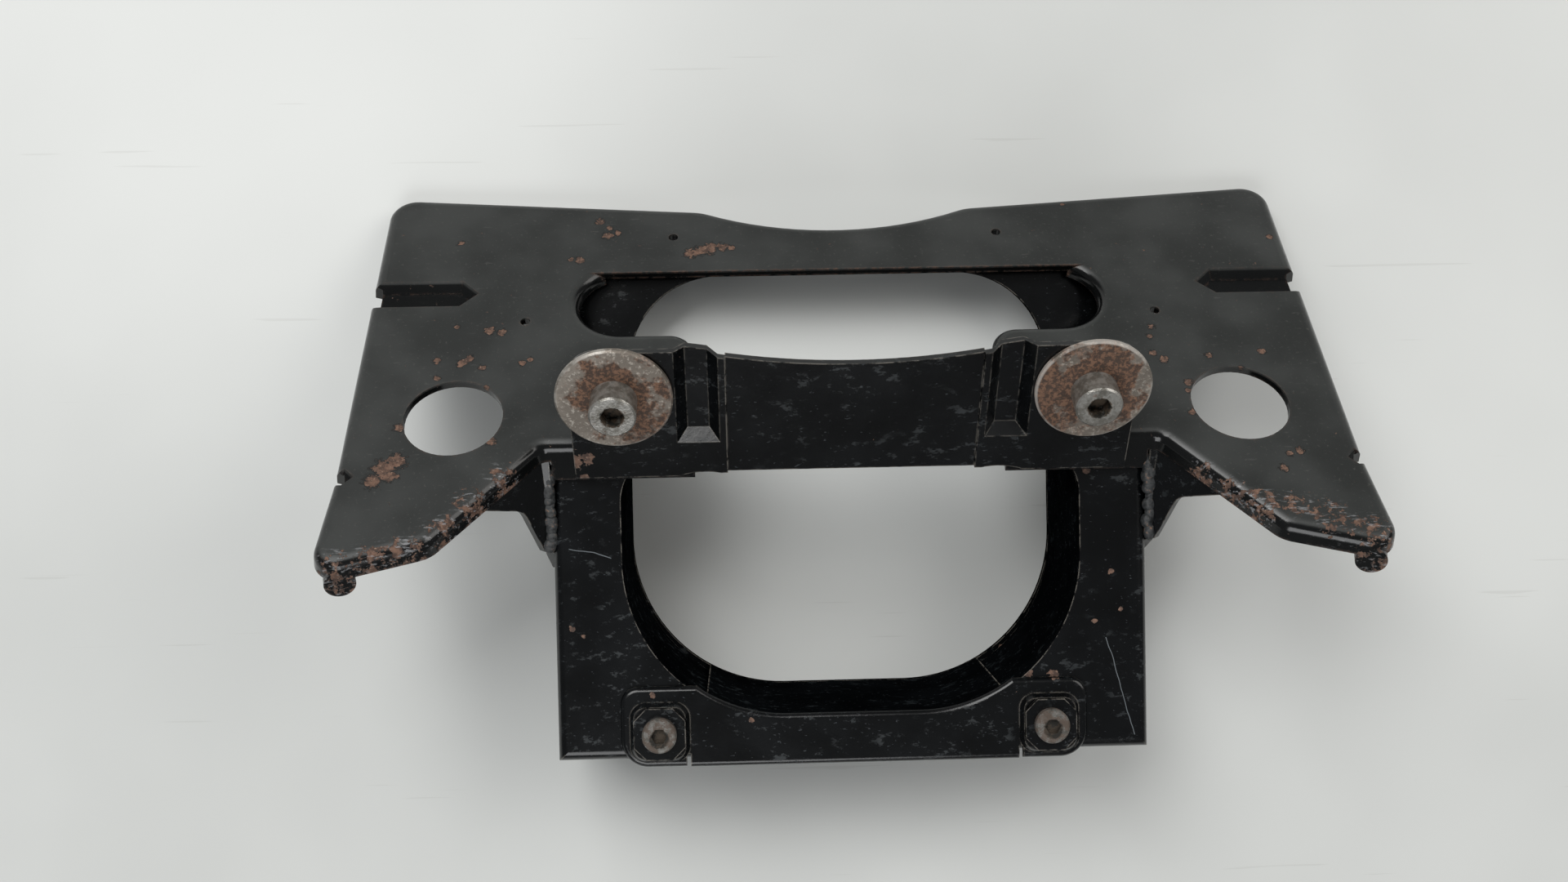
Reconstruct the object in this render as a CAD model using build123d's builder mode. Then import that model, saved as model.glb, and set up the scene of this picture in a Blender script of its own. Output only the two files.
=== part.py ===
from build123d import *

import os
from math import cos, radians, sin, tan

os.makedirs("parts", exist_ok=True)

# Millimetres, +Z up. The bracket lies on a table, on the back of its open box and on the upper rim
# of its wing plate. The origin is on the table, under the middle of the bracket.
rest_shift = 82.1

# Sheet thicknesses
wing_sheet = 2.5
box_sheet = 2.0
back_sheet = 2.0
member_sheet = 2.0
strap_sheet = 2.0
gusset_sheet = 2.5

# Slopes to the table and the draft of the pressed flange, in degrees
box_slope = 7.3
wing_slope = 35.3
flange_draft = 11.2

# Wing plate, in its own plane: x across, u up the slope from the ridge that faces the box
wing_half = 144.4
wing_reach = 108.9
ridge_half = 89.0
arm_inner = 117.0
arm_drop = 33.5
arm_length = 42.0
arm_flare = 2.6
shoulder_half = 43.0
shoulder_fall = 8.5
dip_depth = 9.5
wing_flange = 6.0
ridge_flange = 12.6
ridge_flange_half = 86.0
wing_corner = 8.0
arm_corner = 8.0
arm_tip_corner = 6.0
crook_corner = 5.0
shoulder_corner = 14.0
wing_bend = 3.6

# Slot with its rolled lip, and the notch that opens it to the ridge
slot_half = 80.9
slot_low = 44.6
slot_high = 72.4
slot_lip = 5.0
lip_bend = 3.4
plain_edge = 1.5
lip_foot = 9.0
notch_half = 45.0
notch_corner = 8.0

# Round holes through the wing plate
big_hole = 28.5
big_hole_x = 114.2
big_hole_u = 11.2
drain_hole = 3.0
upper_drain_x = 52.1
upper_drain_u = 87.1
lower_drain_x = 96.6
lower_drain_u = 49.9

# Channels swaged into the side edges
swage_depth = 3.0
swage_taper = 38.0
side_recess = 2.0
upper_swage_u = 62.7
upper_swage_width = 11.0
upper_swage_length = 32.5
lower_swage_u = -10.0
lower_swage_width = 6.0
lower_swage_length = 5.0

# Ears under the tips of the arms
ear_place = 0.77
ear_width = 9.0
ear_drop = 5.5

# Box, in its own plane: x across, y up the slope from its lower edge
box_half = 86.7
box_bend = 3.0
ridge_up = 92.9
mouth_half = 66.9
mouth_low = 11.0
mouth_high = 90.5
mouth_low_corner = 47.5
mouth_high_corner = 15.0
window_low = 13.0
window_high = 144.1
window_high_corner = 29.0
liner_high = 118.0
back_high = 151.0

# Lower cross member
member_half = 68.2
member_high = 21.6
member_corner = 5.0
member_foot_corner = 8.0
member_relief = 1.2
member_hem = 48.0
member_tab_low = -1.8
member_hem_back = 12.0
member_bend = 1.6
lining_half = 43.0
boss_size = 17.4
boss_corner = 4.5
boss_rise = 1.8
boss_taper = 33.0

# Bridge strap, in its own plane: x across, v up from the ridge
strap_half = 79.1
strap_low = -10.7
strap_high = 32.4
strap_corner = 9.0
strap_foot_corner = 3.0
mid_half = 35.5
mid_low = -9.8
mid_high = 30.4
mid_dish = 3.6
mid_set_back = 1.0
groove_inner = 37.5
groove_outer = 49.5
groove_low = 1.5
groove_depth = 3.5
groove_taper = 40.0
groove_arch = 1.4

# Strap fasteners
strap_screw_x = 66.2
strap_screw_v = 18.3
strap_thread = 8.0
strap_head = 13.0
strap_head_height = 8.0
strap_socket = 6.0
strap_screw_length = 16.0
strap_nut_flats = 13.0
strap_nut_height = 6.5
washer_outer = 32.5
washer_height = 2.0

# Fasteners of the cross member
low_screw_x = 56.8
low_screw_y = 8.6
low_thread = 6.0
low_head = 10.0
low_head_height = 2.6
low_socket = 4.0
low_screw_length = 12.0
low_nut_flats = 10.0
low_nut_height = 5.0
low_plate_size = 15.0
low_plate_cut = 3.6
low_plate_height = 1.5

socket_share = 0.55
screw_hole_clearance = 0.6
thread_clearance = 0.2
edge_break = 0.5

# Gussets between the box and the arms
gusset_low = 61.0
gusset_place = 0.55
gusset_hollow_along = 12.5
gusset_hollow_down = 9.5
gusset_corner = 5.0
gusset_leg_deep = 16.0

# Where the planes meet
slope = radians(box_slope)
pitch = radians(wing_slope)
draft = radians(flange_draft)
flange_foot = wing_flange * (cos(pitch) + tan(draft) * sin(pitch))
ridge_z = wing_reach * sin(pitch) + flange_foot
ridge_rise = (ridge_z - ridge_up * sin(slope)) / cos(slope)
ridge_y = ridge_up * cos(slope) - ridge_rise * sin(slope)
foot_spread = wing_flange * tan(draft)
skirt_inset = wing_sheet / cos(draft) - ridge_flange * tan(draft)
skirt_fall = ridge_flange * cos(slope + pitch) + skirt_inset * sin(slope + pitch)
box_depth = ridge_rise - skirt_fall

ridge = (0, ridge_y - rest_shift, ridge_z)
box_plane = Plane(origin=(0, -rest_shift, 0), x_dir=(1, 0, 0), z_dir=(0, -sin(slope), cos(slope)))
wing_plane = Plane(origin=ridge, x_dir=(1, 0, 0), z_dir=(0, sin(pitch), cos(pitch)))
strap_plane = Plane(origin=ridge, x_dir=(1, 0, 0), z_dir=(0, -cos(pitch + draft), sin(pitch + draft)))
wing_up = Axis(ridge, wing_plane.z_dir)
box_up = Axis(box_plane.origin, box_plane.z_dir)
strap_up = Axis(ridge, strap_plane.z_dir)
both_sides = (1, -1)
through = 400.0

slot_middle = (slot_low + slot_high) / 2
slot_height = slot_high - slot_low
arm_run = arm_inner - ridge_half


def wing_outline():
    """Draws the wing plate's outline, without its slot."""
    right = [
        (ridge_half, 0),
        (arm_inner, -arm_drop),
        (wing_half + arm_flare, -arm_length),
        (wing_half, lower_swage_u),
        (wing_half, wing_reach),
        (shoulder_half, wing_reach - shoulder_fall),
    ]
    left = [(-x, u) for x, u in reversed(right)]
    with BuildSketch() as outline:
        with BuildLine():
            Polyline(*right)
            ThreePointArc(right[-1], (0, wing_reach - shoulder_fall - dip_depth), left[0])
            Polyline(*left, right[0])
        make_face()
        fillet(outline.vertices().group_by(Axis.Y)[-1], wing_corner)
        for across, radius in (
            (wing_half + arm_flare, arm_tip_corner),
            (arm_inner, arm_corner),
            (ridge_half, crook_corner),
            (shoulder_half, shoulder_corner),
        ):
            fillet(outline.vertices().filter_by(lambda point: abs(abs(point.X) - across) < edge_break), radius)
    return outline.sketch


def wing_opening(foot, top):
    """Draws the slot and the notch below it, from a given foot up to a given height."""
    with BuildSketch() as opening:
        with Locations((0, slot_middle)):
            SlotOverall(2 * slot_half, slot_height)
        with Locations((0, (slot_middle + foot) / 2)):
            Rectangle(2 * notch_half, slot_middle - foot)
        elbows = opening.vertices().filter_by(lambda point: abs(point.Y - slot_low) < edge_break)
        fillet(elbows.filter_by(lambda point: abs(abs(point.X) - notch_half) < edge_break), notch_corner)
        with Locations((0, top)):
            Rectangle(3 * wing_half, wing_half, align=(Align.CENTER, Align.MIN), mode=Mode.SUBTRACT)
    return opening.sketch


def on_lip(edge):
    """Tells whether an edge of the wing plate is a rim of the slot that is rolled down."""
    place = wing_plane.to_local_coords(edge.center())
    inside = abs(place.X) < slot_half + edge_break
    return inside and abs(place.Z) < edge_break / 2 and lip_foot + edge_break < place.Y < slot_high - 2 * plain_edge


def cut_swages(grow):
    """Presses the side channels into the face and into the edge of a plate, grown by a margin."""
    for side in both_sides:
        for place, width, length in swages:
            tip = wing_half - length - grow
            half = width / 2 + grow
            with BuildSketch(wing_plane) as channel:
                with BuildLine():
                    Polyline(
                        (side * (wing_half + wing_flange), place + half),
                        (side * (tip + width / 2), place + half),
                        (side * tip, place),
                        (side * (tip + width / 2), place - half),
                        (side * (wing_half + wing_flange), place - half),
                        close=True,
                    )
                make_face()
            down = -wing_plane.z_dir
            extrude(channel.sketch, amount=swage_depth + grow, dir=down, taper=swage_taper, mode=Mode.SUBTRACT)
            edge = wing_plane.from_local_coords((side * (wing_half + foot_spread + 1), place, 0))
            edge_plane = Plane(origin=edge, x_dir=wing_plane.y_dir, z_dir=-wing_plane.x_dir * side)
            with BuildSketch(edge_plane) as recess:
                Rectangle(width + 2 * grow, 4 * wing_flange)
            reach = side_recess + foot_spread + 1 + grow
            extrude(recess.sketch, amount=reach, taper=swage_taper / 2, mode=Mode.SUBTRACT)


swages = (
    (upper_swage_u, upper_swage_width, upper_swage_length),
    (lower_swage_u, lower_swage_width, lower_swage_length),
)

# Wing plate: a pressed plate with a drafted rim flange, swaged side channels, and a slot whose lip is
# rolled down at its ends, at its foot and along the notch

with BuildPart() as wing_block:
    with BuildSketch(wing_plane):
        add(wing_outline())
    extrude(amount=-ridge_flange, taper=-flange_draft)
    fillet(wing_block.faces().sort_by(wing_up)[-1].edges(), wing_bend)
    cut_swages(0)

with BuildPart() as wing_hollow:
    with BuildSketch(wing_plane.offset(-wing_sheet)):
        add(wing_outline())
        offset(amount=wing_sheet * tan(draft) - wing_sheet / cos(draft), kind=Kind.INTERSECTION)
    extrude(amount=-2 * ridge_flange, taper=-flange_draft)
    fillet(wing_hollow.faces().sort_by(wing_up)[-1].edges(), wing_bend - wing_sheet)
    cut_swages(wing_sheet)

with BuildPart() as wing_plate:
    add(wing_block.part)
    add(wing_hollow.part, mode=Mode.SUBTRACT)
    with BuildSketch(wing_plane.offset(-wing_flange)):
        Rectangle(4 * wing_half, 4 * wing_reach)
        Rectangle(2 * ridge_flange_half, 2 * ridge_flange, mode=Mode.SUBTRACT)
    extrude(amount=-ridge_flange, mode=Mode.SUBTRACT)
    with BuildSketch(wing_plane.offset(-wing_sheet)):
        add(wing_opening(0, slot_high - plain_edge))
        offset(amount=wing_sheet)
        Rectangle(2 * slot_half, 4 * wing_flange, align=(Align.CENTER, Align.MAX), mode=Mode.SUBTRACT)
    extrude(amount=wing_sheet - slot_lip)
    with BuildSketch(wing_plane):
        add(wing_opening(lip_foot, slot_high - plain_edge))
    extrude(amount=-slot_lip, mode=Mode.SUBTRACT)
    fillet(wing_plate.edges().filter_by(on_lip), lip_bend)
    with BuildSketch(wing_plane.offset(-wing_sheet)):
        with Locations((0, slot_high - plain_edge)):
            Rectangle(3 * slot_half, 2 * wing_sheet, align=(Align.CENTER, Align.MIN))
    extrude(amount=-slot_lip, mode=Mode.SUBTRACT)
    with BuildSketch(wing_plane):
        add(wing_opening(-2 * ridge_flange, slot_high - plain_edge))
    extrude(amount=-through / 4, mode=Mode.SUBTRACT)
    with BuildSketch(wing_plane):
        with Locations(*[(side * big_hole_x, big_hole_u) for side in both_sides]):
            Circle(big_hole / 2)
        with Locations(*[(side * upper_drain_x, upper_drain_u) for side in both_sides]):
            Circle(drain_hole / 2)
        with Locations(*[(side * lower_drain_x, lower_drain_u) for side in both_sides]):
            Circle(drain_hole / 2)
    extrude(amount=-wing_flange, mode=Mode.SUBTRACT)
    for side in both_sides:
        arm_start = wing_plane.from_local_coords((side * arm_inner, -arm_drop, 0))
        arm_end = wing_plane.from_local_coords((side * (wing_half + arm_flare), -arm_length, 0))
        along = (arm_end - arm_start).normalized()
        outward = along.cross(wing_plane.z_dir) * side
        ear_plane = Plane(
            origin=arm_start + (arm_end - arm_start) * ear_place,
            x_dir=along * side,
            z_dir=outward * cos(draft) + wing_plane.z_dir * sin(draft),
        )
        ear_length = wing_flange / 2 + ear_drop
        with BuildSketch(ear_plane):
            with Locations((0, -(wing_flange / 2 + ear_length / 2) / cos(draft))):
                SlotOverall(ear_length, ear_width - edge_break, rotation=90)
        extrude(amount=-wing_sheet)
wing_plate.part.label = "wing_plate"
export_step(wing_plate.part, "parts/wing_plate.step")


def mouth(grow, low, high, high_corner):
    """Draws the mouth's outline in the box's plane, grown by a margin, between two heights."""
    with BuildSketch() as shape:
        with Locations((0, low - grow)):
            Rectangle(2 * (mouth_half + grow), high - low + grow, align=(Align.CENTER, Align.MIN))
        fillet(shape.vertices().group_by(Axis.Y)[0], mouth_low_corner + grow)
        if high_corner:
            fillet(shape.vertices().group_by(Axis.Y)[-1], high_corner)
    return shape.sketch


# Box: front sheet, outer walls and a liner wall round the mouth, trimmed to the wing plate's underside
with BuildPart() as box_frame:
    with BuildSketch(box_plane.offset(back_sheet)):
        Rectangle(2 * box_half, back_high, align=(Align.CENTER, Align.MIN))
    extrude(amount=box_depth - back_sheet)
    front_edges = box_frame.faces().sort_by(box_up)[-1].edges()
    fillet(front_edges.sort_by(Axis.Y)[:-1], box_bend)
    with BuildSketch(box_plane.offset(back_sheet)):
        with Locations((0, box_sheet)):
            Rectangle(2 * (box_half - box_sheet), back_high, align=(Align.CENTER, Align.MIN))
        add(mouth(box_sheet, mouth_low, liner_high, 0), mode=Mode.SUBTRACT)
        add(mouth(0, mouth_low, back_high, 0))
    extrude(amount=box_depth - back_sheet - box_sheet, mode=Mode.SUBTRACT)
    with BuildSketch(box_plane):
        add(mouth(0, mouth_low, mouth_high, mouth_high_corner))
        with Locations((0, mouth_high / 2)):
            Rectangle(2 * (notch_half + wing_sheet), back_high, align=(Align.CENTER, Align.MIN))
        with Locations(*[(side * low_screw_x, low_screw_y) for side in both_sides]):
            Circle((low_thread + screw_hole_clearance) / 2)
    extrude(amount=2 * box_depth, mode=Mode.SUBTRACT)
    with BuildSketch(wing_plane.offset(-wing_sheet)):
        Rectangle(2 * wing_half, 2 * through)
    extrude(amount=through, mode=Mode.SUBTRACT)
    add(wing_plate.part, mode=Mode.SUBTRACT)
box_frame.part.label = "box_frame"
export_step(box_frame.part, "parts/box_frame.step")

# Back plate with its window
with BuildPart() as back_plate:
    with BuildSketch(box_plane):
        Rectangle(2 * box_half, back_high, align=(Align.CENTER, Align.MIN))
        add(mouth(0, window_low, window_high, window_high_corner), mode=Mode.SUBTRACT)
    extrude(amount=back_sheet)
    with BuildSketch(wing_plane.offset(-wing_sheet)):
        Rectangle(2 * wing_half, 2 * through)
    extrude(amount=through, mode=Mode.SUBTRACT)
back_plate.part.label = "back_plate"
export_step(back_plate.part, "parts/back_plate.step")


def on_member_bend(edge):
    """Tells whether a front rim of the cross member is one of its two bends."""
    place = box_plane.to_local_coords(edge.center())
    at_mouth = abs(place.X) < lining_half and place.Y > member_high / 2
    return at_mouth or place.Y < edge_break - member_sheet


# Cross member: a front sheet with two pressed seats, a hem under the box and a lining in the mouth
low_screw_places = [(side * low_screw_x, low_screw_y) for side in both_sides]
with BuildPart() as cross_member:
    with BuildSketch(box_plane.offset(box_depth)) as member_front:
        with Locations((0, member_tab_low)):
            Rectangle(2 * member_half, member_high - member_tab_low, align=(Align.CENTER, Align.MIN))
        fillet(member_front.vertices().group_by(Axis.Y)[-1], member_corner)
        fillet(member_front.vertices().group_by(Axis.Y)[0], member_foot_corner)
        add(mouth(-member_sheet, mouth_low, mouth_high, 0), mode=Mode.SUBTRACT)
        with Locations(*[(side * (member_hem + member_relief / 2), 0) for side in both_sides]):
            Rectangle(member_relief, 2 * member_sheet, mode=Mode.SUBTRACT)
    extrude(amount=member_sheet)
    with BuildSketch(box_plane.offset(back_sheet)):
        with Locations((0, mouth_low)):
            Rectangle(2 * lining_half, member_high, align=(Align.CENTER, Align.MIN))
        add(mouth(0, mouth_low, mouth_high, 0), mode=Mode.INTERSECT)
        add(mouth(-member_sheet, mouth_low, mouth_high, 0), mode=Mode.SUBTRACT)
    extrude(amount=box_depth + member_sheet - back_sheet)
    with BuildSketch(box_plane.offset(member_hem_back)):
        with Locations((0, -member_sheet)):
            Rectangle(2 * member_hem, member_sheet, align=(Align.CENTER, Align.MIN))
    extrude(amount=box_depth + member_sheet - member_hem_back)
    front_rims = cross_member.faces().sort_by(box_up)[-1].edges()
    fillet(front_rims.filter_by(on_member_bend), member_bend)
    with BuildSketch(box_plane.offset(box_depth + member_sheet)):
        with Locations(*low_screw_places):
            RectangleRounded(boss_size, boss_size, boss_corner)
    extrude(amount=boss_rise, taper=boss_taper)
    with BuildSketch(box_plane.offset(box_depth)):
        with Locations(*low_screw_places):
            RectangleRounded(boss_size - member_sheet, boss_size - member_sheet, boss_corner - member_sheet / 2)
    extrude(amount=boss_rise, taper=boss_taper, mode=Mode.SUBTRACT)
    with BuildSketch(box_plane):
        with Locations(*low_screw_places):
            Circle((low_thread + screw_hole_clearance) / 2)
    extrude(amount=2 * box_depth, mode=Mode.SUBTRACT)
cross_member.part.label = "cross_member"
export_step(cross_member.part, "parts/cross_member.step")

# Bridge strap: a plate on the ridge flange with two pressed grooves and a set-back, dished middle
groove_middle = (groove_inner + groove_outer) / 2
groove_width = groove_outer - groove_inner
strap_screw_places = [(side * strap_screw_x, strap_screw_v) for side in both_sides]
with BuildPart() as bridge_strap:
    with BuildSketch(strap_plane):
        with Locations((0, (strap_low + strap_high) / 2)):
            Rectangle(2 * strap_half, strap_high - strap_low)
    extrude(amount=strap_sheet)
    with BuildSketch(strap_plane):
        Rectangle(2 * mid_half, 2 * strap_high)
    extrude(amount=-mid_set_back)
    with BuildSketch(strap_plane):
        with Locations(*[(side * groove_middle, groove_low) for side in both_sides]):
            Rectangle(groove_width, 2 * strap_high, align=(Align.CENTER, Align.MIN))
    extrude(amount=-groove_depth, taper=groove_taper)
    with BuildSketch(strap_plane.offset(strap_sheet)):
        Rectangle(2 * mid_half, 4 * strap_high)
    extrude(amount=-mid_set_back, mode=Mode.SUBTRACT)
    with BuildSketch(strap_plane.offset(strap_sheet)):
        with Locations(*[(side * groove_middle, groove_low) for side in both_sides]):
            Rectangle(groove_width, 2 * strap_high, align=(Align.CENTER, Align.MIN))
    extrude(amount=-groove_depth, taper=groove_taper, mode=Mode.SUBTRACT)
    with BuildSketch(strap_plane.offset(-groove_depth)) as strap_outline:
        with BuildLine():
            for side in both_sides:
                Polyline(
                    (side * groove_inner, mid_high),
                    (side * groove_outer, strap_high),
                    (side * strap_half, strap_high),
                    (side * strap_half, strap_low),
                    (side * groove_outer, strap_low),
                )
                ThreePointArc(
                    (side * groove_outer, strap_low),
                    (side * groove_middle, strap_low + groove_arch),
                    (side * groove_inner, mid_low),
                )
            ThreePointArc((-groove_inner, mid_high), (0, mid_high - mid_dish), (groove_inner, mid_high))
            Line((-groove_inner, mid_low), (groove_inner, mid_low))
        make_face()
        tab_corners = strap_outline.vertices().filter_by(lambda point: abs(point.X) > strap_half - edge_break)
        fillet(tab_corners.group_by(Axis.Y)[-1], strap_corner)
        fillet(tab_corners.group_by(Axis.Y)[0], strap_foot_corner)
    extrude(amount=3 * groove_depth, mode=Mode.INTERSECT)
    with BuildSketch(strap_plane):
        with Locations(*strap_screw_places):
            Circle((strap_thread + screw_hole_clearance) / 2)
    extrude(amount=strap_sheet, mode=Mode.SUBTRACT)
bridge_strap.part.label = "bridge_strap"
export_step(bridge_strap.part, "parts/bridge_strap.step")

# Washers, screws and nuts of the bridge strap
for side, hand in ((1, "right"), (-1, "left")):
    place = (side * strap_screw_x, strap_screw_v)
    with BuildPart() as washer:
        with BuildSketch(strap_plane.offset(strap_sheet)):
            with Locations(place):
                Circle(washer_outer / 2)
                Circle((strap_thread + screw_hole_clearance) / 2, mode=Mode.SUBTRACT)
        extrude(amount=washer_height)
        chamfer(washer.edges().filter_by(GeomType.CIRCLE).sort_by(SortBy.LENGTH)[-2:], edge_break)
    washer.part.label = "washer_" + hand
    export_step(washer.part, "parts/washer_" + hand + ".step")

    under_head = strap_sheet + washer_height
    with BuildPart() as strap_screw:
        with BuildSketch(strap_plane.offset(under_head)):
            with Locations(place):
                Circle(strap_head / 2)
        extrude(amount=strap_head_height)
        chamfer(strap_screw.edges().sort_by(strap_up)[-1], edge_break)
        with BuildSketch(strap_plane.offset(under_head)):
            with Locations(place):
                Circle(strap_thread / 2)
        extrude(amount=-strap_screw_length)
        chamfer(strap_screw.edges().sort_by(strap_up)[0], edge_break)
        with BuildSketch(strap_plane.offset(under_head + strap_head_height)):
            with Locations(place):
                RegularPolygon(strap_socket / 2, 6, major_radius=False)
        extrude(amount=-socket_share * strap_head_height, mode=Mode.SUBTRACT)
    strap_screw.part.label = "strap_screw_" + hand
    export_step(strap_screw.part, "parts/strap_screw_" + hand + ".step")

    with BuildPart() as strap_nut:
        with BuildSketch(strap_plane):
            with Locations(place):
                RegularPolygon(strap_nut_flats / 2, 6, major_radius=False)
                Circle((strap_thread + thread_clearance) / 2, mode=Mode.SUBTRACT)
        extrude(amount=-strap_nut_height)
    strap_nut.part.label = "strap_nut_" + hand
    export_step(strap_nut.part, "parts/strap_nut_" + hand + ".step")

# Plates, screws and nuts of the cross member
for side, hand in ((1, "right"), (-1, "left")):
    place = (side * low_screw_x, low_screw_y)
    seat = box_depth + member_sheet + boss_rise
    with BuildPart() as low_plate:
        with BuildSketch(box_plane.offset(seat)) as octagon:
            with Locations(place):
                Rectangle(low_plate_size, low_plate_size)
            chamfer(octagon.vertices(), low_plate_cut)
            with Locations(place):
                Circle((low_thread + screw_hole_clearance) / 2, mode=Mode.SUBTRACT)
        extrude(amount=low_plate_height)
    low_plate.part.label = "low_plate_" + hand
    export_step(low_plate.part, "parts/low_plate_" + hand + ".step")

    with BuildPart() as low_screw:
        with BuildSketch(box_plane.offset(seat + low_plate_height)):
            with Locations(place):
                Circle(low_head / 2)
        extrude(amount=low_head_height)
        chamfer(low_screw.edges().sort_by(box_up)[-1], edge_break)
        with BuildSketch(box_plane.offset(seat + low_plate_height)):
            with Locations(place):
                Circle(low_thread / 2)
        extrude(amount=-low_screw_length)
        with BuildSketch(box_plane.offset(seat + low_plate_height + low_head_height)):
            with Locations(place):
                RegularPolygon(low_socket / 2, 6, major_radius=False)
        extrude(amount=-socket_share * low_head_height, mode=Mode.SUBTRACT)
    low_screw.part.label = "low_screw_" + hand
    export_step(low_screw.part, "parts/low_screw_" + hand + ".step")

    with BuildPart() as low_nut:
        with BuildSketch(box_plane.offset(box_depth - box_sheet)):
            with Locations(place):
                RegularPolygon(low_nut_flats / 2, 6, major_radius=False)
                Circle((low_thread + thread_clearance) / 2, mode=Mode.SUBTRACT)
        extrude(amount=-low_nut_height)
    low_nut.part.label = "low_nut_" + hand
    export_step(low_nut.part, "parts/low_nut_" + hand + ".step")

# Gussets: a web from the box to the arm's flange, with a leg on the box's side
arm_foot = -arm_drop * gusset_place
web_outer = wing_plane.from_local_coords((ridge_half + arm_run * gusset_place, arm_foot, -wing_flange))
web_inner = wing_plane.from_local_coords((ridge_half, 0, -wing_flange))
web_low = box_plane.from_local_coords((box_half, gusset_low, box_depth - box_bend))
web_across = (web_outer - web_inner).normalized()
web_face = web_across.cross(web_low - web_inner).normalized()
web_plane = Plane(origin=web_inner, x_dir=web_across, z_dir=web_face)
web_corner = web_plane.to_local_coords(web_low)
web_length = (web_outer - web_inner).length
with BuildPart() as gusset_right:
    with BuildSketch(web_plane) as web:
        with BuildLine():
            Polyline(
                (0, 0),
                (web_length, 0),
                (gusset_hollow_along, gusset_hollow_down),
                (web_corner.X + gusset_sheet, web_corner.Y - gusset_sheet),
                (web_corner.X, web_corner.Y),
                close=True,
            )
        make_face()
        fillet(web.vertices().sort_by_distance((gusset_hollow_along, gusset_hollow_down, 0))[0], gusset_corner)
    extrude(amount=gusset_sheet)
    with BuildSketch(Plane.YZ.offset(box_half)):
        with BuildLine():
            Polyline(
                (web_low.Y, web_low.Z),
                (web_inner.Y, web_inner.Z),
                (web_inner.Y - gusset_leg_deep / 4, web_inner.Z - gusset_leg_deep),
                (web_low.Y - gusset_leg_deep / 4, web_low.Z - gusset_leg_deep),
                close=True,
            )
        make_face()
    extrude(amount=gusset_sheet)
    add(wing_plate.part, mode=Mode.SUBTRACT)
    add(box_frame.part, mode=Mode.SUBTRACT)
gusset_right.part.label = "gusset_right"
export_step(gusset_right.part, "parts/gusset_right.step")
gusset_left = mirror(gusset_right.part, about=Plane.YZ)
gusset_left.label = "gusset_left"
export_step(gusset_left, "parts/gusset_left.step")
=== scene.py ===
import random
from math import cos, radians, sin

import bmesh
import bpy
from mathutils import Matrix, Vector


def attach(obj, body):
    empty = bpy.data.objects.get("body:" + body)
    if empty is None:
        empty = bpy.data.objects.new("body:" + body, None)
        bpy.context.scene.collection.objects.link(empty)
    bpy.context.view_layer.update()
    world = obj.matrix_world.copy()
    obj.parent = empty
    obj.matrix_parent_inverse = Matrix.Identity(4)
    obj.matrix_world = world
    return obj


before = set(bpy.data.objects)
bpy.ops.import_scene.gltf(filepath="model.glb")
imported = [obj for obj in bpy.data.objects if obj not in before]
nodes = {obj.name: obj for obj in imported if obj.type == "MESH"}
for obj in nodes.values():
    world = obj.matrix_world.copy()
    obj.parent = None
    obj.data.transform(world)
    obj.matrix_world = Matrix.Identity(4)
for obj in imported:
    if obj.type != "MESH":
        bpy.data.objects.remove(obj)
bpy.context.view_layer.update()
scene = bpy.context.scene

# Slopes of the wing plate, the box and the bridge strap to the table, as in the part's source
wing_turn = (radians(-35.3), 0, 0)
box_turn = (radians(7.3), 0, 0)
strap_turn = (radians(43.5), 0, 0)

# All the places and sizes below are in metres, unless a comment says millimetres.
# The ridge where the wing plate meets the strap, and the slot's upper edge measured up the slope from it
ridge_point = (0, 0.0028, 0.0685)
slot_top = 0.0724

# The fender washers' radius, and how far dirt reaches from the middle of each screw's socket
washer_radius = 0.01625
upper_socket_reach = 0.0028
lower_socket_reach = 0.0022

# Fillet welds between the gussets and the box's sides: their place across, their upper end and their foot
weld_x = 0.0873
weld_top_y = -0.004
weld_top_z = 0.0600
weld_foot_z = 0.0545
weld_foot_gap = 0.006
weld_width = 0.0036


# Camera, floor and light

def place_camera():
    """Looks down at the bracket as in the photograph, a little from the left."""
    place = (-0.03089, -0.03728, 0.49228)
    right = Vector((0.99942, -0.02303, 0.02502))
    back = Vector((-0.02707, -0.09368, 0.99523))
    turn = Matrix((right, back.cross(right), back)).transposed()
    data = bpy.data.cameras.new("camera")
    data.sensor_width = 36.0
    data.lens = 34.375
    data.clip_start = 0.01
    data.clip_end = 20.0
    camera = bpy.data.objects.new("camera", data)
    camera.matrix_world = Matrix.Translation(place) @ turn.to_4x4()
    scene.collection.objects.link(camera)
    scene.camera = camera


def lay_table():
    """A plain pale table top under the bracket."""
    shape = bmesh.new()
    bmesh.ops.create_grid(shape, x_segments=1, y_segments=1, size=6.0)
    mesh = bpy.data.meshes.new("table")
    shape.to_mesh(mesh)
    shape.free()
    mesh.materials.append(make_table_top())
    table = bpy.data.objects.new("table", mesh)
    scene.collection.objects.link(table)


def hang_lamp(name, place, size, power, tint):
    """A square soft lamp that faces the bracket."""
    data = bpy.data.lights.new(name, "AREA")
    data.shape = "SQUARE"
    data.size = size
    data.energy = power
    data.color = tint
    lamp = bpy.data.objects.new(name, data)
    lamp.location = place
    lamp.rotation_euler = (-Vector(place)).to_track_quat("-Z", "Y").to_euler()
    scene.collection.objects.link(lamp)


def light_room():
    """A dim even room, so that the gloss paint stays dark between the lamps."""
    world = bpy.data.worlds.new("room")
    scene.world = world
    world.use_nodes = True
    background = world.node_tree.nodes["Background"]
    background.inputs["Color"].default_value = (0.98, 0.99, 1.0, 1.0)
    background.inputs["Strength"].default_value = 0.11


# Nodes

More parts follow.
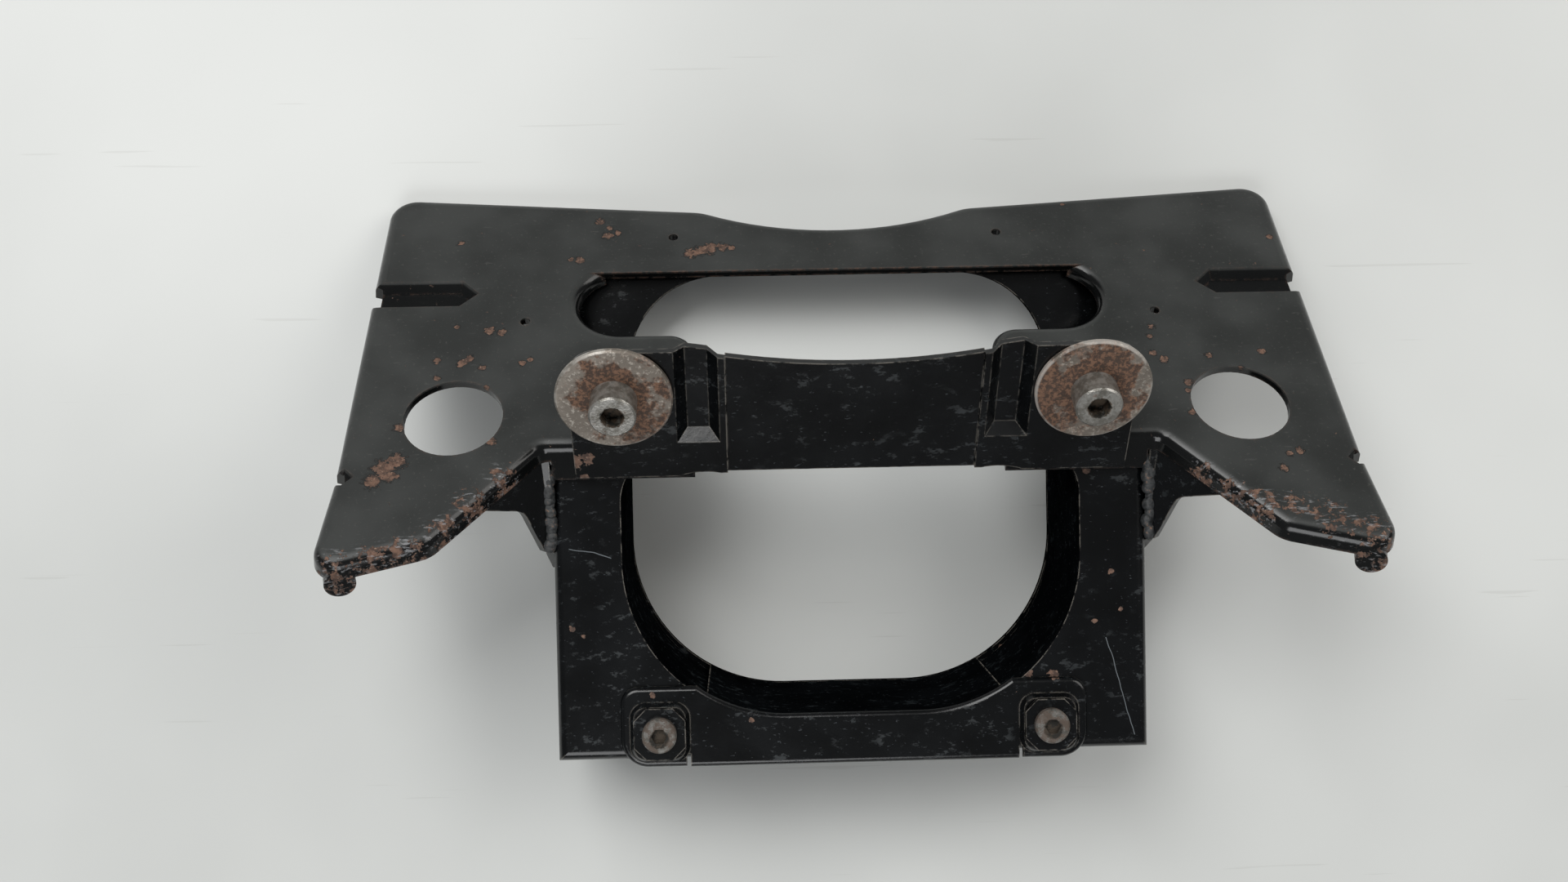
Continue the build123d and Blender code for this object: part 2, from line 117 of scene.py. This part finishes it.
# Each word stands for a kind of node, its settings, its inputs in the order of a call, and its output.
node_words = {
    "place": ("TexCoord", {}, (), "Object"),
    "normal": ("NewGeometry", {}, (), "Normal"),
    "rounded normal": ("Bevel", {"samples": 4}, ("Radius",), "Normal"),
    "own frame": ("Mapping", {"vector_type": "TEXTURE"}, ("Vector", "Location", "Rotation", "Scale"), 0),
    "x": ("SeparateXYZ", {}, (0,), "X"),
    "y": ("SeparateXYZ", {}, (0,), "Y"),
    "z": ("SeparateXYZ", {}, (0,), "Z"),
    "move back": ("VectorMath", {"operation": "SUBTRACT"}, (0, 1), "Vector"),
    "stretch": ("VectorMath", {"operation": "MULTIPLY"}, (0, 1), "Vector"),
    "along": ("VectorMath", {"operation": "DOT_PRODUCT"}, (0, 1), "Value"),
    "apart": ("VectorMath", {"operation": "DISTANCE"}, (0, 1), "Value"),
    "noise": ("TexNoise", {}, ("Vector", "Scale", "Detail", "Roughness"), "Fac"),
    "step": ("MapRange", {"interpolation_type": "SMOOTHSTEP"}, ("Value", "From Min", "From Max"), "Result"),
    "range": ("MapRange", {}, ("Value", "From Min", "From Max", "To Min", "To Max"), "Result"),
    "less": ("Math", {"operation": "SUBTRACT"}, (0, 1), "Value"),
    "plus": ("Math", {"operation": "ADD"}, (0, 1), "Value"),
    "times": ("Math", {"operation": "MULTIPLY"}, (0, 1), "Value"),
    "times and plus": ("Math", {"operation": "MULTIPLY_ADD"}, (0, 1, 2), "Value"),
    "least": ("Math", {"operation": "MINIMUM"}, (0, 1), "Value"),
    "most": ("Math", {"operation": "MAXIMUM"}, (0, 1), "Value"),
    "unsigned": ("Math", {"operation": "ABSOLUTE"}, (0,), "Value"),
    "closer than": ("Math", {"operation": "COMPARE"}, (0, 1, 2), "Value"),
    "mix values": ("Mix", {}, ("Factor", "A", "B"), 0),
    "mix colours": ("Mix", {"data_type": "RGBA"}, (0, 6, 7), 2),
    "relief": ("Bump", {}, ("Height", "Distance", "Strength"), "Normal"),
}


def linear(code):
    """Turns an sRGB hex colour into linear values with full opacity."""
    parts = [int(code[i:i + 2], 16) / 255 for i in (1, 3, 5)]
    return [c / 12.92 if c <= 0.04045 else ((c + 0.055) / 1.055) ** 2.4 for c in parts] + [1.0]


def add_node(tree, word, *values):
    """Adds the node that a word stands for; its values are sockets, numbers or sRGB hex colours."""
    kind, settings, inputs, output = node_words[word]
    node = tree.nodes.new("ShaderNode" + kind)
    for name, setting in settings.items():
        setattr(node, name, setting)
    for key, value in zip(inputs, values):
        if isinstance(value, bpy.types.NodeSocket):
            tree.links.new(value, node.inputs[key])
        else:
            node.inputs[key].default_value = linear(value) if isinstance(value, str) else value
    return node.outputs[output]


def start_material(name):
    """An empty material with its node tree and its shader."""
    material = bpy.data.materials.new(name)
    material.use_nodes = True
    tree = material.node_tree
    tree.nodes.clear()
    output = tree.nodes.new("ShaderNodeOutputMaterial")
    shader = tree.nodes.new("ShaderNodeBsdfPrincipled")
    tree.links.new(shader.outputs["BSDF"], output.inputs["Surface"])
    return material, tree, shader


def set_surface(tree, shader, colour, roughness, height, depth, metal=None):
    """Links the finished colour, roughness and relief to the shader, and a metal's share if it has one."""
    tree.links.new(colour, shader.inputs["Base Color"])
    tree.links.new(roughness, shader.inputs["Roughness"])
    tree.links.new(add_node(tree, "relief", height, depth, 0.8), shader.inputs["Normal"])
    if metal is not None:
        tree.links.new(metal, shader.inputs["Metallic"])


# Patterns; the scale of a noise is 1000 mm over the size of its lumps in millimetres

def on_sheet(tree, turn, stretch=(1, 1, 1)):
    """Places from the ridge in a sheet's own plane: across, up its slope and above it.

    A stretch makes the pattern on it that many times longer in each direction.
    """
    return add_node(tree, "own frame", add_node(tree, "place"), ridge_point, turn, stretch)


def from_axis(tree, node, turn):
    """The distance from a node's own axis, which is square to a sheet with this turn."""
    own = add_node(tree, "own frame", add_node(tree, "place"), middle(node), turn)
    return add_node(tree, "apart", add_node(tree, "stretch", own, (1, 1, 0)), (0, 0, 0))


def middle(node):
    """The middle of a node's bounding box."""
    corners = [node.matrix_world @ Vector(corner) for corner in node.bound_box]
    return sum(corners, Vector()) / 8


def build_up(tree, colour, coats):
    """Lays coats over a colour; a coat is its share from 0 to 1, its strength and its colour."""
    for share, strength, coat in coats:
        colour = add_node(tree, "mix colours", add_node(tree, "times", share, strength), colour, coat)
    return colour


def sheet_edge(tree, radius, low, high):
    """A share that is 1 along the sheet's sharp edges and 0 on its flats."""
    match = add_node(tree, "along", add_node(tree, "rounded normal", radius), add_node(tree, "normal"))
    return add_node(tree, "step", add_node(tree, "less", 1.0, match), low, high)


def from_patches(tree, flat, places, ragged, raggedness):
    """The distance from the nearest patch, 1 at its ragged rim; a place is x, y and radius in millimetres."""
    nearest = 1000.0
    for x, y, radius in places:
        far = add_node(tree, "apart", flat, (x / 1000, y / 1000, 0))
        nearest = add_node(tree, "least", add_node(tree, "times", far, 1000 / radius), nearest)
    shift = add_node(tree, "times and plus", ragged, raggedness, -raggedness / 2)
    return add_node(tree, "plus", nearest, shift)


def scratch_line(tree, flat, start, end, width, waver):
    """A thin wavering scratch between two places; they and the width are in millimetres."""
    start, end = Vector((*start, 0)) / 1000, Vector((*end, 0)) / 1000
    run = end - start
    side = Vector((-run.y, run.x, 0)).normalized()
    away = add_node(tree, "move back", flat, start)
    aside = add_node(tree, "times and plus", waver, 0.004, add_node(tree, "along", away, side))
    on_line = add_node(tree, "closer than", aside, 0.002, width / 1000)
    on_run = add_node(tree, "closer than", add_node(tree, "along", away, run / run.length_squared), 0.5, 0.5)
    return add_node(tree, "times", on_line, on_run)


def rust_colour(tree, sheet):
    """Thin dry rust on mild steel: dark brown, with paler tan and pinkish spots.

    Its grains are finer on the real steel; here they are 0.7 mm across, so that they show.
    """
    lumps = add_node(tree, "noise", sheet, 1000 / 1.923, 4, 0.65)
    spots = add_node(tree, "noise", sheet, 1000 / 0.6667, 2, 0.6)
    return build_up(tree, "#46352d", [
        (add_node(tree, "step", lumps, 0.38, 0.64), 1, "#75594a"),
        (add_node(tree, "step", spots, 0.58, 0.72), 1, "#917a6a"),
    ])


# Wing plate

# Chips in the enamel: x, height up the slope from the ridge and radius, in millimetres
wing_chips = [
    (-76.0, 95.5, 1.3), (-73.0, 88.5, 1.5), (-70.0, 89.5, 1.0), (-72.5, 92.0, 0.9),
    (-81.5, 76.8, 1.3), (-84.3, 77.4, 0.9), (-46.6, 79.2, 1.8), (-43.5, 80.5, 2.0),
    (-40.5, 81.5, 2.2), (-36.5, 82.0, 1.6), (-33.5, 81.5, 1.0), (-119.8, 85.9, 1.0),
    (-107.0, 46.2, 1.4), (-103.4, 45.4, 1.2), (-117.0, 48.2, 0.8), (-114.0, 33.0, 1.5),
    (-111.9, 34.4, 1.2), (-121.5, 33.9, 1.0), (-120.7, 26.9, 0.9), (-131.3, -7.7, 3.0),
    (-128.3, -4.8, 2.4), (-134.1, -12.0, 2.2), (-129.5, -10.0, 2.0), (-129.0, 7.5, 1.4),
    (-102.8, 2.0, 1.3), (-105.9, 22.6, 0.9), (-96.0, 32.3, 1.0), (-93.7, 33.9, 0.8), (-107.9, 30.9, 1.0),
    (75.6, 100.2, 0.8), (51.3, 100.8, 0.7), (94.2, 42.7, 1.0), (92.8, 38.5, 0.9), (92.6, 31.7, 1.0),
    (95.2, 28.9, 1.2), (100.6, 19.4, 1.1), (100.0, 16.1, 0.9), (99.3, 7.5, 1.0), (140.5, 82.5, 0.9),
    (125.4, 31.5, 1.1), (109.1, 30.2, 1.0), (126.9, -7.6, 1.1), (120.8, -14.0, 1.2),
    (123.8, -8.7, 0.9), (117.7, 24.9, 0.7), (123.4, 18.1, 0.8),
]

# Bands of worn and rusted enamel along the lower arms, in the same terms
arm_rust = [
    (-98.0, -11.0, 5.0), (-106.0, -20.0, 5.5), (-113.0, -29.0, 5.5), (-122.0, -36.0, 6.0),
    (-131.0, -39.0, 6.0), (-141.0, -42.0, 7.0), (97.0, -14.0, 4.5), (104.0, -21.0, 5.0),
    (112.0, -26.0, 5.5), (121.0, -27.0, 5.0), (129.0, -31.0, 6.0), (138.0, -36.0, 6.0), (144.0, -40.0, 6.0),
]


def make_wing_paint():
    """Old satin black enamel, brushed on pressed mild steel.

    It gives the eye a dark grey sheen with faint streaks, painted shade and more gloss in the pressed
    channels and bends, and dry brown rust where the enamel has chipped or has worn through along the arms.
    """
    material, tree, shader = start_material("satin_black_enamel_on_steel")
    sheet = on_sheet(tree, wing_turn)
    brushed = on_sheet(tree, wing_turn, (4, 1, 1))
    flat = add_node(tree, "stretch", sheet, (1, 1, 0))
    above = add_node(tree, "z", sheet)

    clouds = add_node(tree, "noise", sheet, 1000 / 29.4, 3, 0.5)
    dust = add_node(tree, "noise", sheet, 1000 / 1.111, 2, 0.7)
    streaks = add_node(tree, "noise", brushed, 1000 / 1.429, 2, 0.6)
    rims = add_node(tree, "noise", sheet, 1000 / 1.613, 4, 0.62)
    mottle = add_node(tree, "noise", sheet, 1000 / 2.632, 5, 0.7)
    rubs = add_node(tree, "noise", brushed, 1000 / 1.111, 3, 0.65)
    grain = add_node(tree, "noise", sheet, 1000 / 3.846, 3, 0.5)
    # Painted shade: below the sheet's top face, in the pressed channels, flanges and bends, the colour is
    # darkened to near black. The enamel there is also made glossier.
    pressed = add_node(tree, "step", above, -0.0002, -0.0009)
    on_top = add_node(tree, "step", above, -0.0014, -0.0006)

    # Chips have a dark crack of lifted enamel round them.
    from_chip = from_patches(tree, flat, wing_chips, rims, 3.2)
    chipped = add_node(tree, "times", add_node(tree, "step", from_chip, 1.06, 0.94), on_top)
    lifted = add_node(tree, "times", add_node(tree, "step", from_chip, 1.5, 1.15), on_top)
    crack = add_node(tree, "less", lifted, chipped)

    # Along the arms, specks of rust stand close together, with rubbed bare steel between them.
    band = add_node(tree, "step", from_patches(tree, flat, arm_rust, rims, 1.2), 1.35, 0.55)
    specks = add_node(tree, "step", add_node(tree, "times and plus", band, 0.17, mottle), 0.675, 0.7)
    rubbed = add_node(tree, "times", band, add_node(tree, "step", rubs, 0.56, 0.64))

    # Sharp edges rust most along the arms and along the slot's plain upper edge.
    near_slot = add_node(tree, "closer than", add_node(tree, "y", sheet), slot_top, 0.0025)
    wear = add_node(tree, "most", add_node(tree, "most", band, near_slot), 0.25)
    ragged_wear = add_node(tree, "times", add_node(tree, "step", mottle, 0.44, 0.54), wear)
    worn_edge = add_node(tree, "times", sheet_edge(tree, 0.0014, 0.02, 0.16), ragged_wear)
    bare = add_node(tree, "most", add_node(tree, "most", chipped, specks), worn_edge)

    colour = build_up(tree, "#272928", [
        (add_node(tree, "step", clouds, 0.35, 0.68), 1, "#373938"),
        (add_node(tree, "step", dust, 0.6, 0.74), 1, "#454643"),
        (add_node(tree, "step", streaks, 0.66, 0.76), 0.3, "#5b5b59"),
        (pressed, 0.9, "#08090a"),
        (crack, 0.8, "#131211"),
        (bare, 1, rust_colour(tree, sheet)),
        (rubbed, 0.55, "#97989b"),
    ])
    satin = add_node(tree, "range", clouds, 0, 1, 0.38, 0.5)
    enamel = add_node(tree, "mix values", pressed, satin, 0.16)
    roughness = add_node(tree, "mix values", bare, enamel, 0.8)
    film = add_node(tree, "times and plus", bare, -0.5, 0.6)
    height = add_node(tree, "times and plus", grain, 0.14, film)
    set_surface(tree, shader, colour, roughness, height, 0.0003)
    return material


# Box, strap and cross member

# Specks of rust: x, height up the box's slope from the ridge and radius, in millimetres
box_specks = [
    (-76.6, -9.5, 1.1), (69.1, -11.1, 1.0), (-79.0, -4.5, 2.2), (-75.0, -4.0, 1.6), (-82.0, -6.0, 1.4),
    (61.8, -17.0, 2.4), (61.7, -24.5, 2.0), (61.6, -21.0, 2.2), (75.9, -40.8, 0.8), (78.7, -51.7, 0.7),
    (70.9, -55.1, 0.7), (58.7, -70.5, 1.4), (51.4, -70.3, 1.0), (-81.9, -53.8, 0.8), (-78.4, -56.3, 0.6),
    (-58.7, -73.5, 0.8), (-30.3, -81.5, 0.7),
]

# Longer scratches, by their two ends in the same terms
box_scratches = [((74.5, -60.0), (82.6, -89.0)), ((-82.0, -30.0), (-70.0, -33.5))]


def make_box_paint():
    """Gloss black powder coat, baked on welded mild steel sheet.

    It gives the eye a near-black gloss with grey scuffs and hairlines, pinholes and specks of rust, and thin
    pale lines where the sheet's edges are worn bare.
    """
    material, tree, shader = start_material("gloss_black_powder_coat")
    sheet = on_sheet(tree, box_turn)
    smeared = on_sheet(tree, box_turn, (1.818, 1, 1))
    flat = add_node(tree, "stretch", sheet, (1, 1, 0))
    front = (0, -sin(box_turn[0]), cos(box_turn[0]))
    facing = add_node(tree, "unsigned", add_node(tree, "along", add_node(tree, "normal"), front))

    clouds = add_node(tree, "noise", sheet, 1000 / 23.81, 3, 0.6)
    fine = add_node(tree, "noise", sheet, 1000 / 3.846, 4, 0.7)
    smears = add_node(tree, "noise", smeared, 1000 / 3.03, 5, 0.72)
    hairs = add_node(tree, "noise", smeared, 1000 / 0.7692, 2, 0.5)
    rims = add_node(tree, "noise", sheet, 1000 / 1.613, 4, 0.6)

    scuffed_area = add_node(tree, "step", clouds, 0.4, 0.6)
    scuffs = add_node(tree, "times", add_node(tree, "step", smears, 0.56, 0.64), scuffed_area)
    from_speck = from_patches(tree, flat, box_specks, rims, 3.0)
    on_front = add_node(tree, "step", facing, 0.3, 0.5)
    specks = add_node(tree, "times", add_node(tree, "step", from_speck, 1.06, 0.94), on_front)
    bare = add_node(tree, "most", specks, add_node(tree, "step", fine, 0.735, 0.75))
    ragged = add_node(tree, "step", fine, 0.4, 0.56)
    worn_edge = add_node(tree, "times", sheet_edge(tree, 0.0007, 0.03, 0.22), ragged)

    colour = build_up(tree, "#050607", [
        (add_node(tree, "step", clouds, 0.35, 0.7), 1, "#0b0d0f"),
        (scuffs, 0.32, "#41474a"),
        (add_node(tree, "step", hairs, 0.68, 0.74), 0.22, "#6f757a"),
        *[(scratch_line(tree, flat, *ends, 0.12, clouds), 1, "#676c70") for ends in box_scratches],
        (bare, 1, rust_colour(tree, sheet)),
        (worn_edge, 0.8, "#8f8a82"),
    ])

    # Painted shade: the walls square to the front sheet are given less reflection, so that they stay dark.
    painted_wall_shade = add_node(tree, "range", facing, 0.2, 0.5, 0.0, 0.5)
    gloss = add_node(tree, "range", clouds, 0, 1, 0.14, 0.28)
    dull = add_node(tree, "most", add_node(tree, "times", scuffs, 0.5), bare)
    roughness = add_node(tree, "mix values", dull, gloss, 0.7)
    film = add_node(tree, "times and plus", bare, -0.5, 0.6)
    height = add_node(tree, "times and plus", fine, 0.2, film)
    tree.links.new(painted_wall_shade, shader.inputs["Specular IOR Level"])
    set_surface(tree, shader, colour, roughness, height, 0.0003)
    return material


# Washers and screws

def make_washer_zinc(hand, inward):
    """Zinc plate on a stamped steel fender washer.

    It gives the eye a dull grey metal with a thin painted highlight along its rim, browned by rust round the
    screw's head and on the side that inward points to.
    """
    material, tree, shader = start_material("zinc_plated_washer_steel_" + hand)
    washer = nodes["washer_" + hand]
    sheet = on_sheet(tree, strap_turn)
    far = from_axis(tree, washer, strap_turn)
    lumps = add_node(tree, "noise", sheet, 1000 / 8.333, 4, 0.65)
    fine = add_node(tree, "noise", sheet, 1000 / 1.111, 3, 0.65)

    reach = add_node(tree, "times and plus", lumps, 0.034, -0.004)
    near_head = add_node(tree, "step", add_node(tree, "less", far, reach), 0.002, -0.002)
    start_x = middle(washer).x - 0.004 * inward
    inner_side = add_node(tree, "step", add_node(tree, "x", sheet), start_x, start_x + 0.014 * inward)
    inner_stain = add_node(tree, "times", inner_side, add_node(tree, "step", lumps, 0.38, 0.5))
    stain = add_node(tree, "most", near_head, inner_stain)
    rust = build_up(tree, "#3d2a20", [(add_node(tree, "step", fine, 0.42, 0.62), 1, "#78553f")])
    # Painted highlight: a thin paler band all along the washer's outer rim.
    outermost = add_node(tree, "step", far, washer_radius - 0.00085, washer_radius - 0.00035)
    rim = add_node(tree, "times", outermost, add_node(tree, "step", lumps, 0.42, 0.55))

    colour = build_up(tree, "#7d756c", [
        (add_node(tree, "step", lumps, 0.35, 0.65), 1, "#9c948a"),
        (add_node(tree, "step", fine, 0.52, 0.68), 1, "#b3aca2"),
        (stain, 0.92, rust),
        (rim, 0.5, "#c9c6c0"),
    ])
    roughness = add_node(tree, "range", stain, 0, 1, 0.42, 0.76)
    metal = add_node(tree, "range", stain, 0, 1, 0.6, 0.1)
    set_surface(tree, shader, colour, roughness, fine, 0.00008, metal)
    return material


def make_screw_zinc(name, turn, socket_reach, rusted):
    """Zinc plate on a cold-headed steel socket screw, rusted by a share from 0 to 1.

    It gives the eye a light grey metal with brown stains, and dark dried dirt in the hexagon socket.
    """
    material, tree, shader = start_material("zinc_plated_steel_" + name)
    sheet = on_sheet(tree, turn)
    lumps = add_node(tree, "noise", sheet, 1000 / 2.632, 3, 0.65)
    fine = add_node(tree, "noise", sheet, 1000 / 0.7143, 2, 0.6)
    blots = add_node(tree, "noise", sheet, 1000 / 1.923, 4, 0.7)

    reach = add_node(tree, "times and plus", fine, 0.0012, socket_reach)
    inside = add_node(tree, "less", from_axis(tree, nodes[name], turn), reach)
    dirt = add_node(tree, "step", inside, 0.0003, -0.0003)
    stains = add_node(tree, "step", blots, 0.6 - 0.2 * rusted, 0.7 - 0.2 * rusted)
    brown = build_up(tree, "#17150f", [(add_node(tree, "step", lumps, 0.4, 0.6), 1, "#4d4134")])

    colour = build_up(tree, "#7c7972", [
        (add_node(tree, "step", lumps, 0.35, 0.65), 1, "#aaa8a3"),
        (stains, 0.75, "#5c473a"),
        (dirt, 1, brown),
        (rusted, 0.45, "#26231f"),
    ])
    dull = add_node(tree, "most", dirt, stains)
    roughness = add_node(tree, "range", dull, 0, 1, 0.36, 0.8)
    metal = add_node(tree, "range", dull, 0, 1, 0.7, 0.1)
    set_surface(tree, shader, colour, roughness, fine, 0.00012, metal)
    return material


# Table top and welds

def make_table_top():
    """White melamine laminate, pressed smooth.

    It gives the eye a pale even sheet with wiped patches and a few long fine scratches.
    """
    material, tree, shader = start_material("white_laminate_table_top")
    place = add_node(tree, "place")
    wiped = add_node(tree, "noise", place, 1000 / 142.9, 3, 0.5)
    thinned = add_node(tree, "stretch", place, (1, 30, 1))
    turned = add_node(tree, "own frame", thinned, (0, 0, 0), (0, 0, radians(-38)))
    hairs = add_node(tree, "noise", turned, 1000 / 83.33, 2, 0.5)
    colour = build_up(tree, "#cfd1cf", [
        (add_node(tree, "step", wiped, 0.35, 0.7), 1, "#d6d8d6"),
        (add_node(tree, "step", hairs, 0.7, 0.73), 0.3, "#b9bab6"),
    ])
    roughness = add_node(tree, "range", wiped, 0, 1, 0.3, 0.42)
    set_surface(tree, shader, colour, roughness, wiped, 0.0002)
    return material


def make_weld_steel():
    """Mild steel weld metal, laid by hand and painted over in black.

    It gives the eye rough dark grey beads that rust at their crests.
    """
    material, tree, shader = start_material("painted_weld_bead_steel")
    lumps = add_node(tree, "noise", add_node(tree, "place"), 1000 / 1.429, 5, 0.7)
    colour = build_up(tree, "#141618", [
        (add_node(tree, "step", lumps, 0.3, 0.6), 1, "#3d3f40"),
        (add_node(tree, "step", lumps, 0.58, 0.68), 1, "#7a6252"),
    ])
    roughness = add_node(tree, "range", lumps, 0, 1, 0.3, 0.7)
    set_surface(tree, shader, colour, roughness, lumps, 0.0003)
    return material


def lay_weld(name, foot, top, material):
    """A rough fillet weld: a row of uneven overlapping drops from its foot to its top."""
    run = Vector(top) - Vector(foot)
    turn = run.to_track_quat("Z", "Y").to_matrix().to_4x4()
    count = round(run.length / (weld_width * 0.34))
    drops = random.Random(name)
    shape = bmesh.new()
    for number in range(count + 1):
        swell = weld_width / 2 * drops.uniform(0.62, 1.15)
        size = Matrix.Diagonal((swell, swell * drops.uniform(0.8, 1.0), swell * drops.uniform(0.9, 1.5), 1))
        aside = Vector((drops.uniform(-0.14, 0.14), 0, drops.uniform(-0.1, 0.1))) * weld_width
        place = Matrix.Translation(Vector(foot) + run * number / count + aside)
        bmesh.ops.create_icosphere(shape, subdivisions=3, radius=1.0, matrix=place @ turn @ size)
    for face in shape.faces:
        face.smooth = True
    mesh = bpy.data.meshes.new(name)
    shape.to_mesh(mesh)
    shape.free()
    mesh.materials.append(material)
    weld = bpy.data.objects.new(name, mesh)
    scene.collection.objects.link(weld)
    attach(weld, "root")


def dress(name, material):
    """Gives a CAD node its material."""
    node = nodes[name]
    node.data.materials.clear()
    node.data.materials.append(material)


# The scene

place_camera()
lay_table()
hang_lamp("window", (-0.7, 0.9, 1.7), 1.3, 29.0, (1.0, 1.0, 0.99))
hang_lamp("wall", (1.3, 0.5, 1.3), 1.2, 12.0, (1.0, 0.975, 0.94))
hang_lamp("front", (-0.3, -1.4, 1.2), 1.0, 12.0, (0.98, 0.99, 1.0))
light_room()

box_paint = make_box_paint()
for name in nodes:
    dress(name, box_paint)
dress("wing_plate", make_wing_paint())

weld_steel = make_weld_steel()
for hand, side in (("right", 1), ("left", -1)):
    dress("washer_" + hand, make_washer_zinc(hand, -side))
    upper, lower = "strap_screw_" + hand, "low_screw_" + hand
    dress(upper, make_screw_zinc(upper, strap_turn, upper_socket_reach, 0.0))
    dress(lower, make_screw_zinc(lower, box_turn, lower_socket_reach, 0.9))
    gusset = nodes["gusset_" + hand]
    gusset_foot = min((gusset.matrix_world @ corner.co).y for corner in gusset.data.vertices)
    foot = (side * weld_x, gusset_foot + weld_foot_gap, weld_foot_z)
    lay_weld("gusset_weld_" + hand, foot, (side * weld_x, weld_top_y, weld_top_z), weld_steel)

scene.view_settings.view_transform = "Standard"
